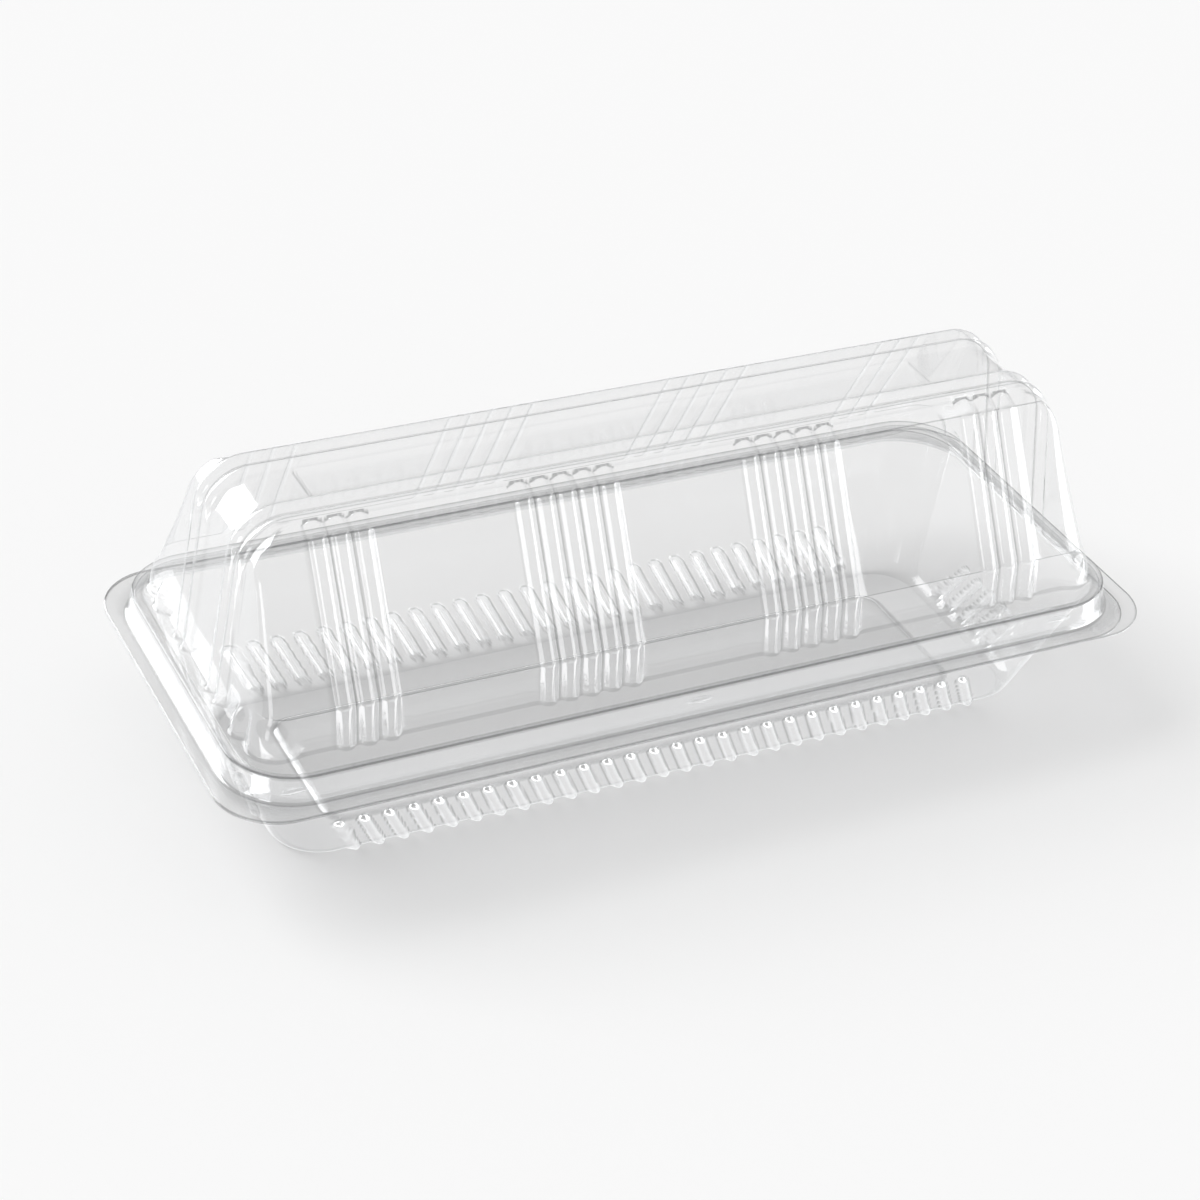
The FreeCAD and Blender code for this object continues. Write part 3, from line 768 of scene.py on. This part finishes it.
def crown_points(plan, flange, lid, profile, bulges):
    """The dome's top with its hoops and its shallow recess."""
    cap = plan.cap(profile.arc_half - 0.0005, lid.crown_width - 0.0005, flange.form_shift)
    level = flange.level + lid.skirt_height + lid.dome_height
    points = np.column_stack((cap, np.full(len(cap), level)))
    up = np.tile((0.0, 0.0, 1.0), (len(points), 1))
    points = swollen(points, up, np.ones(len(points)), bulges, lid.fillet)
    edge = RECESS_EDGE
    sunk_in = (smooth_step(points[:, 0], lid.recess_start, lid.recess_start + edge)
               * smooth_step(-points[:, 0], -lid.recess_end, -lid.recess_end + edge)
               * smooth_step(-np.abs(points[:, 1]), -lid.recess_width,
                             -lid.recess_width + edge))
    points[:, 2] -= lid.recess_depth * sunk_in
    return points


def lid_shell(flange, lid):
    """Vertices and faces of the formed lid, from the flange's edge to the crown."""
    plan = RingPlan(spaced(*LID_STEPS_ALONG), spaced(*LID_STEPS_ACROSS), *LID_KEPT, 10)
    profile = DomeProfile(lid)
    bulges = lid_bulges(flange, lid, profile)
    skirt = skirt_rings(plan, flange, lid)
    walls = [dome_ring(plan, flange, lid, profile, bulges, height)
             for height in profile.heights()]
    rings = skirt + shelf_rings(plan, flange, lid, skirt[-1], walls[0]) + walls
    for ring in rings:
        ring[:, 1] = np.minimum(ring[:, 1], flange.lid_rear)
    crown = crown_points(plan, flange, lid, profile, bulges)
    return np.concatenate(rings + [crown]), plan.faces(len(rings))


class CLAMSHELL_OT_lid(bpy.types.Operator):
    """Make the clear dome lid with its ribs, hoops and buttresses"""

    bl_idname = "clamshell.lid"
    bl_label = "Lid"

    def execute(self, context):
        scene = context.scene
        finish = scene.clamshell_finish
        vertices, faces = lid_shell(scene.clamshell_flange, scene.clamshell_lid)
        material = clear_sheet("clear_lid", finish, 55.0, 0.02)
        rest_on(new_piece("formed_lid", vertices, faces, material), "lid", ["lid"])
        return {"FINISHED"}


# Tray


def tray_bulges(flange, tray, side_lean, end_lean):
    """A distance function for the slanted flutes low on the tray's walls."""
    slant = math.tan(tray.flute_lean)
    sunk = tray.flute_radius - tray.flute_proud
    height = tray.flute_height

    def along_wall(place, depth, z, lean, half_floor, number):
        """Distance to the nearest flute of one wall, and its twin across the tray."""
        foot = tray.edge_round
        start = np.array((half_floor + lean * foot - sunk, foot))
        end = np.array((half_floor + lean * height - sunk, height))
        limit = (number - 1) / 2
        offset = limit % 1.0
        upright = place + z * slant
        index = np.floor(upright / tray.flute_pitch - offset + 0.5) + offset
        index = np.clip(index, -limit, limit)
        beside = (upright - index * tray.flute_pitch) * math.cos(tray.flute_lean)
        climb = segment_gap(depth, z, start, end)
        return np.hypot(beside, climb) - tray.flute_radius

    def distance(points):
        x = points[:, 0] + flange.form_shift
        y = points[:, 1]
        z = points[:, 2]
        side = along_wall(x, np.abs(y), z, side_lean, tray.floor_width, tray.side_flutes)
        end = along_wall(y, np.abs(x), z, end_lean, tray.floor_length, tray.end_flutes)
        return np.minimum(side, end)

    return distance


# The same for the tray, whose points are close along the fluted walls
TRAY_STEPS_ALONG = ([0.0, 0.0835, 0.0905], [0.00044, 0.0012])
TRAY_STEPS_ACROSS = ([0.0, 0.0160], [0.00070])
TRAY_KEPT = (0.078, 0.0100)
RIM_ROUND = 0.0007
WALL_LEAN = 0.37
FLUTE_BLEND = 0.00015


def rim_outset(flange, lid, tray, level):
    """How far the rim's outer wall stands outside the shelf's edge at a height."""
    shelf = flange.level + lid.skirt_height
    gap = flange.sheet / math.cos(flange.skirt_draft) + tray.rim_gap - flange.sheet
    return (shelf - level) * math.tan(flange.skirt_draft) - gap


def rim_rings(plan, flange, lid, tray):
    """Rings from the edge of the tray's flange, up the rim, to the edge of its land."""
    top = flange.level - 0.00005
    rim_top = flange.level + tray.rim_height
    bend = RIM_ROUND
    rings = []
    for level, inset in ((flange.level - flange.sheet, 0.0), (top, 0.0), (top, 0.0006),
                         (top, 0.0025)):
        rings.append(plan.flat_ring(flange.half_length - inset, flange.half_width - inset,
                                    flange.corner - inset, level, 0.0))

    def rim(level, extra):
        out = rim_outset(flange, lid, tray, level) + extra
        rings.append(plan.flat_ring(lid.shelf_length + out, lid.shelf_width + out,
                                    lid.shelf_corner + out, level, flange.form_shift))

    for angle in np.linspace(0, math.pi / 2, 5):
        rim(top + bend * (1 - math.cos(angle)), bend * (1 - math.sin(angle)) * 0.9)
    for part in (0.5, 1.0):
        rim(top + bend + (rim_top - bend - top - bend) * part, 0.0)
    for angle in np.linspace(0, math.pi / 2, 5)[1:]:
        rim(rim_top - bend * (1 - math.sin(angle)), -bend * (1 - math.cos(angle)))
    return rings


def panel_rings(plan, flange, tray):
    """Rings up the edge of the floor's raised panel."""
    rise = tray.panel_rise
    return [plan.flat_ring(tray.panel_length + length_inset, tray.panel_width + width_inset,
                           radius, level, flange.form_shift)
            for length_inset, width_inset, level, radius in (
                (0.0015, 0.0008, 0.0, 0.006), (0.0, 0.0, rise * 0.15, 0.005),
                (-0.0004, -0.0004, rise * 0.85, 0.0046), (-0.0012, -0.0012, rise, 0.004))]


def tray_shell(flange, lid, tray):
    """Vertices and faces of the formed tray, from the flange's edge to the floor."""
    plan = RingPlan(spaced(*TRAY_STEPS_ALONG), spaced(*TRAY_STEPS_ACROSS), *TRAY_KEPT, 14)
    shift = flange.form_shift
    bend = RIM_ROUND
    rim_top = flange.level + tray.rim_height
    out = rim_outset(flange, lid, tray, rim_top) - tray.rim_land
    top_corner = lid.shelf_corner + out
    end_lean = (lid.shelf_length + out - tray.floor_length) / rim_top
    side_lean = (lid.shelf_width + out - tray.floor_width) / rim_top
    bulges = tray_bulges(flange, tray, side_lean, end_lean)
    slant = math.tan(tray.flute_lean)

    def wall(level, inset, lean=WALL_LEAN):
        """The wall's skin at one height, leaned along X with the flutes on it."""
        part = level / rim_top
        radius = tray.floor_corner * (1 - part) + top_corner * part
        shear = -slant * level * (1.0 - smooth_step(level, tray.flute_height * 0.9, rim_top))
        places, out_plan = plan.ring(tray.floor_length + end_lean * level - inset,
                                     tray.floor_width + side_lean * level - inset,
                                     radius - inset, shift, shear)
        points = np.column_stack((places, np.full(len(places), level)))
        directions = np.column_stack((out_plan, np.zeros(len(out_plan))))
        squareness = np.full(len(points), math.cos(lean))
        return swollen(points, directions, squareness, bulges, FLUTE_BLEND)

    rings = rim_rings(plan, flange, lid, tray)
    for angle in np.linspace(0, math.pi / 2, 4)[1:]:
        rings.append(wall(rim_top - bend * (1 - math.cos(angle)),
                          -bend * (1 - math.sin(angle)), 0.3))
    clear_of_flutes = tray.flute_height + 0.0025
    levels = list(np.linspace(rim_top - bend, clear_of_flutes, 14)[1:])
    levels += list(np.linspace(clear_of_flutes, tray.edge_round, 24)[1:])
    rings += [wall(level, 0.0) for level in levels]
    for angle in np.linspace(0, math.pi / 2, 7)[1:]:
        level = tray.edge_round * (1 - math.sin(angle))
        rings.append(wall(level, tray.edge_round * (1 - math.cos(angle))))
    panel = panel_rings(plan, flange, tray)
    rings += [(rings[-1] + panel[0]) / 2] + panel
    cap = plan.cap(tray.panel_length - 0.0052, tray.panel_width - 0.0052, shift)
    points = np.column_stack((cap, np.full(len(cap), tray.panel_rise)))
    return np.concatenate(rings + [points]), plan.faces(len(rings))


class CLAMSHELL_OT_tray(bpy.types.Operator):
    """Make the clear fluted tray"""

    bl_idname = "clamshell.tray"
    bl_label = "Tray"

    def execute(self, context):
        scene = context.scene
        finish = scene.clamshell_finish
        vertices, faces = tray_shell(scene.clamshell_flange, scene.clamshell_lid,
                                     scene.clamshell_tray)
        material = clear_sheet("clear_tray", finish, 48.0, 0.03)
        piece = new_piece("formed_tray", vertices, faces, material, flip=True)
        rest_on(piece, "tray", ["tray"])
        return {"FINISHED"}


# Hinge film


class CLAMSHELL_OT_hinge(bpy.types.Operator):
    """Make the film that bends along the fold"""

    bl_idname = "clamshell.hinge"
    bl_label = "Hinge film"

    def execute(self, context):
        scene = context.scene
        flange = scene.clamshell_flange
        half = flange.half_length - flange.corner
        lid_edge = (flange.lid_rear, flange.level + flange.sheet)
        tray_edge = (flange.half_width, flange.level - 0.0001)
        stations = 8
        columns = 60
        vertices = []
        for column in range(columns + 1):
            x = -half + 2 * half * column / columns
            for station in range(stations + 1):
                part = station / stations
                bow = math.sin(part * math.pi / 2)
                y = lid_edge[0] + (tray_edge[0] - lid_edge[0]) * bow
                z = tray_edge[1] + (lid_edge[1] - tray_edge[1]) * math.cos(part * math.pi / 2)
                vertices.append((x, y, z))
        faces = []
        for column in range(columns):
            for station in range(stations):
                a = column * (stations + 1) + station
                b = a + stations + 1
                faces.append((a, a + 1, b + 1, b))
        material = clear_sheet("clear_hinge", scene.clamshell_finish, 60.0, 0.04)
        piece = new_piece("hinge_film", vertices, faces, material, flip=True)
        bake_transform(piece)
        return {"FINISHED"}


# Snap nubs and stipple


def bump_tree(name, on_faces):
    """A node group that sets rounded bumps on a mesh's faces, or on its points."""
    tree = bpy.data.node_groups.new(name, "GeometryNodeTree")
    sockets = {}
    for label, kind in (("Geometry", "Geometry"), ("Half sizes", "Vector"), ("Gap", "Float"),
                        ("Seed", "Int"), ("Material", "Material")):
        sockets[label] = tree.interface.new_socket(label, in_out="INPUT",
                                                   socket_type="NodeSocket" + kind)
    tree.interface.new_socket("Geometry", in_out="OUTPUT", socket_type="NodeSocketGeometry")
    nodes, links = tree.nodes, tree.links
    given = nodes.new("NodeGroupInput")
    bump = nodes.new("GeometryNodeMeshIcoSphere")
    bump.inputs["Radius"].default_value = 1.0
    bump.inputs["Subdivisions"].default_value = 3
    smooth = nodes.new("GeometryNodeSetShadeSmooth")
    place = nodes.new("GeometryNodeInstanceOnPoints")
    real = nodes.new("GeometryNodeRealizeInstances")
    dress = nodes.new("GeometryNodeSetMaterial")
    result = nodes.new("NodeGroupOutput")
    if on_faces:
        spread = nodes.new("GeometryNodeDistributePointsOnFaces")
        spread.distribute_method = "POISSON"
        spread.inputs["Density Max"].default_value = 2.0e7
        links.new(given.outputs["Gap"], spread.inputs["Distance Min"])
        links.new(given.outputs["Seed"], spread.inputs["Seed"])
        links.new(given.outputs["Geometry"], spread.inputs["Mesh"])
        links.new(spread.outputs["Rotation"], place.inputs["Rotation"])
    else:
        spread = nodes.new("GeometryNodeMeshToPoints")
        links.new(given.outputs["Geometry"], spread.inputs["Mesh"])
    links.new(spread.outputs["Points"], place.inputs["Points"])
    links.new(bump.outputs["Mesh"], smooth.inputs["Geometry"])
    links.new(smooth.outputs["Geometry"], place.inputs["Instance"])
    links.new(given.outputs["Half sizes"], place.inputs["Scale"])
    links.new(place.outputs["Instances"], real.inputs["Geometry"])
    links.new(real.outputs["Geometry"], dress.inputs["Geometry"])
    links.new(given.outputs["Material"], dress.inputs["Material"])
    links.new(dress.outputs["Geometry"], result.inputs["Geometry"])
    return tree, {label: socket.identifier for label, socket in sockets.items()}


def bumps(context, name, vertices, faces, material, half_sizes, gap, seed):
    """A piece of bumps over a base mesh, with its modifier made real."""
    mesh = bpy.data.meshes.new(name)
    mesh.from_pydata(vertices, [], faces)
    piece = bpy.data.objects.new(name, mesh)
    bpy.context.collection.objects.link(piece)
    tree, key = bump_tree(name + "_nodes", bool(faces))
    scatter = piece.modifiers.new("bumps", "NODES")
    scatter.node_group = tree
    scatter[key["Half sizes"]] = tuple(half_sizes)
    scatter[key["Gap"]] = gap
    scatter[key["Seed"]] = seed
    scatter[key["Material"]] = material
    shown = piece.evaluated_get(context.evaluated_depsgraph_get())
    plain = bpy.data.meshes.new_from_object(shown)
    piece.modifiers.clear()
    piece.data = plain
    rest_on(piece, "lid", [])
    return piece


class CLAMSHELL_OT_marks(bpy.types.Operator):
    """Press the snap nubs and the stipple into the lid's skirt and flange"""

    bl_idname = "clamshell.marks"
    bl_label = "Nubs and stipple"

    def execute(self, context):
        scene = context.scene
        flange, lid, marks = scene.clamshell_flange, scene.clamshell_lid, scene.clamshell_marks
        slope = math.tan(flange.skirt_draft)
        material = clear_sheet("clear_marks", scene.clamshell_finish, 60.0, 0.04)
        side = lid.shelf_width + (lid.skirt_height - marks.nub_rise) * slope
        nubs = [(marks.nub_place + (index - (marks.nubs - 1) / 2) * marks.nub_pitch, -side,
                 flange.level + marks.nub_rise) for index in range(marks.nubs)]
        bumps(context, "snap_nubs", nubs, [], material, marks.nub_size, 0.0, marks.seed)

        middle = (lid.shelf_length - lid.shelf_corner - flange.form_shift,
                  lid.shelf_corner - lid.shelf_width)
        inner = lid.shelf_corner + lid.skirt_height * slope + marks.stipple_start
        top = flange.level + flange.sheet
        steps = 16
        band = []
        for index in range(steps + 1):
            angle = marks.stipple_from + (marks.stipple_to - marks.stipple_from) * index / steps
            for radius in (inner, inner + marks.stipple_width):
                band.append((middle[0] + radius * math.cos(angle),
                             middle[1] + radius * math.sin(angle), top))
        faces = [(2 * index, 2 * index + 1, 2 * index + 3, 2 * index + 2)
                 for index in range(steps)]
        bumps(context, "flange_stipple", band, faces, material, marks.grain_size,
              marks.grain_gap, marks.seed)
        return {"FINISHED"}


# Studio


# The cards that the gloss mirrors: name, azimuth, elevation, width and height in degrees,
# and radiance
CARDS = (("card_rear_left", 123.0, 20.0, 36.0, 46.0, 5.0),
         ("card_right", -24.0, 8.0, 58.0, 18.0, 4.0),
         ("card_left", 212.0, 9.0, 14.0, 17.0, 3.0))
STRIP_MIDDLE = -0.086
STRIP_HALF = 0.026
KEY_FROM = (-0.55, 0.45, 0.7)


def studio_floor(stage):
    """The pale floor, with painted highlights: it glows brighter in reflections, and a bright
    strip before the pack glows brighter still, which only the gloss shows.
    """
    reach = 3.0
    mesh = bpy.data.meshes.new("studio_floor")
    mesh.from_pydata([(-reach, -reach, 0), (reach, -reach, 0), (reach, reach, 0),
                      (-reach, reach, 0)], [], [(0, 1, 2, 3)])
    floor = bpy.data.objects.new("studio_floor", mesh)
    bpy.context.collection.objects.link(floor)
    material = bpy.data.materials.new("studio_floor")
    board = Board(material)
    colour = (*stage.floor_colour, 1.0)
    matte = board.add("ShaderNodeBsdfDiffuse", {}, {"Color": colour})
    place = board.add("ShaderNodeTexCoord", {}, {}, "Object")
    across = board.add("ShaderNodeSeparateXYZ", {}, {0: place}, "Y")
    # Painted highlight: in reflections the floor glows above its colour and the strip before the
    # pack far above it, so the pack's lower walls and flutes mirror light that no lamp gives
    strip = ((STRIP_HALF - (across - STRIP_MIDDLE).unsigned()) * 300.0).held()
    glow, bright = [board.add("ShaderNodeEmission", {}, {"Color": colour, "Strength": level})
                    for level in (stage.mirrored_floor, stage.mirrored_strip)]
    mirrored = board.add("ShaderNodeMixShader", {}, {0: strip, 1: glow, 2: bright})
    board.add("ShaderNodeOutputMaterial", {},
              {"Surface": board.mirrored_apart(matte, mirrored)})
    mesh.materials.append(material)


def studio_walls(scene, stage):
    """Even light from all round, dimmer in reflections."""
    world = bpy.data.worlds.new("studio")
    scene.world = world
    sky = Board(world)
    even, dim = [sky.add("ShaderNodeBackground", {}, {"Strength": level})
                 for level in (stage.sky_strength, stage.mirrored_sky)]
    sky.add("ShaderNodeOutputWorld", {}, {"Surface": sky.mirrored_apart(even, dim)})


def key_lamp(stage):
    """A broad soft light from the rear left above, which the gloss doesn't show."""
    sun = bpy.data.lights.new("key", "SUN")
    sun.energy = stage.key_strength
    sun.angle = math.radians(45)
    key = bpy.data.objects.new("key", sun)
    bpy.context.collection.objects.link(key)
    key.rotation_euler = Vector(KEY_FROM).to_track_quat("Z", "Y").to_euler()
    key.visible_glossy = False


def softbox(name, azimuth, elevation, wide, high, radiance):
    """A lamp that only the gloss shows, aimed at the pack."""
    around, lift = math.radians(azimuth), math.radians(elevation)
    away = 1.2
    middle = Vector((0.0, 0.0, 0.05))
    outward = Vector((math.cos(around) * math.cos(lift), math.sin(around) * math.cos(lift),
                      math.sin(lift)))
    lamp = bpy.data.lights.new(name, "AREA")
    lamp.shape = "RECTANGLE"
    lamp.size = 2 * away * math.tan(math.radians(wide / 2))
    lamp.size_y = 2 * away * math.tan(math.radians(high / 2))
    lamp.energy = radiance * math.pi * lamp.size * lamp.size_y
    holder = bpy.data.objects.new(name, lamp)
    bpy.context.collection.objects.link(holder)
    turn = outward.to_track_quat("Z", "Y")
    holder.matrix_world = (Matrix.Translation(middle + outward * away)
                           @ turn.to_matrix().to_4x4())
    holder.visible_diffuse = False


def photo_camera(scene, stage):
    """The camera, placed round the middle of the flange plane and slid off it."""
    azimuth, elevation, roll = stage.azimuth, stage.elevation, stage.roll
    back = Vector((-math.sin(azimuth) * math.cos(elevation),
                   -math.cos(azimuth) * math.cos(elevation), math.sin(elevation)))
    level_right = Vector((math.cos(azimuth), -math.sin(azimuth), 0.0))
    level_up = back.cross(level_right)
    right = math.cos(roll) * level_right + math.sin(roll) * level_up
    up = -math.sin(roll) * level_right + math.cos(roll) * level_up
    place = (back * stage.distance + right * stage.slide_right + up * stage.slide_up
             + Vector((0.0, 0.0, scene.clamshell_flange.level)))
    camera = bpy.data.cameras.new("camera")
    camera.lens = stage.lens
    camera.sensor_width = 36.0
    camera.clip_start = 0.01
    holder = bpy.data.objects.new("camera", camera)
    bpy.context.collection.objects.link(holder)
    turn = Matrix((right, up, back)).transposed().to_4x4()
    holder.matrix_world = Matrix.Translation(place) @ turn
    scene.camera = holder


class CLAMSHELL_OT_stage(bpy.types.Operator):
    """Set the pale floor, the soft lamps and the camera"""

    bl_idname = "clamshell.stage"
    bl_label = "Stage"

    def execute(self, context):
        scene = context.scene
        stage = scene.clamshell_stage
        studio_floor(stage)
        studio_walls(scene, stage)
        key_lamp(stage)
        for card in CARDS:
            softbox(*card)
        photo_camera(scene, stage)
        scene.view_settings.view_transform = "Standard"
        return {"FINISHED"}


class CLAMSHELL_PT_panel(bpy.types.Panel):
    """Buttons for each part of the pack"""

    bl_idname = "CLAMSHELL_PT_panel"
    bl_label = "Clamshell Pack"
    bl_space_type = "VIEW_3D"
    bl_region_type = "UI"
    bl_category = "Clamshell"

    def draw(self, context):
        column = self.layout.column()
        for operator in OPERATORS:
            column.operator(operator.bl_idname)
        for group in GROUPS:
            settings = getattr(context.scene, group)
            column.label(text=GROUPS[group].__doc__)
            for key in settings.bl_rna.properties.keys():
                if key not in ("rna_type", "name"):
                    column.prop(settings, key)


GROUPS = {
    "clamshell_flange": FlangeSizes,
    "clamshell_lid": LidSizes,
    "clamshell_tray": TraySizes,
    "clamshell_marks": MarkSettings,
    "clamshell_finish": FinishSettings,
    "clamshell_stage": StageSettings,
}
OPERATORS = [CLAMSHELL_OT_lid, CLAMSHELL_OT_tray, CLAMSHELL_OT_hinge, CLAMSHELL_OT_marks,
             CLAMSHELL_OT_stage]


def register():
    for group in GROUPS.values():
        bpy.utils.register_class(group)
    for name, group in GROUPS.items():
        setattr(bpy.types.Scene, name, PointerProperty(type=group))
    for operator in OPERATORS:
        bpy.utils.register_class(operator)
    bpy.utils.register_class(CLAMSHELL_PT_panel)


def unregister():
    bpy.utils.unregister_class(CLAMSHELL_PT_panel)
    for operator in reversed(OPERATORS):
        bpy.utils.unregister_class(operator)
    for name in GROUPS:
        delattr(bpy.types.Scene, name)
    for group in reversed(list(GROUPS.values())):
        bpy.utils.unregister_class(group)


def main():
    register()
    bpy.ops.clamshell.lid()
    bpy.ops.clamshell.tray()
    bpy.ops.clamshell.hinge()
    bpy.ops.clamshell.marks()
    bpy.ops.clamshell.stage()


if __name__ == "__main__":
    main()
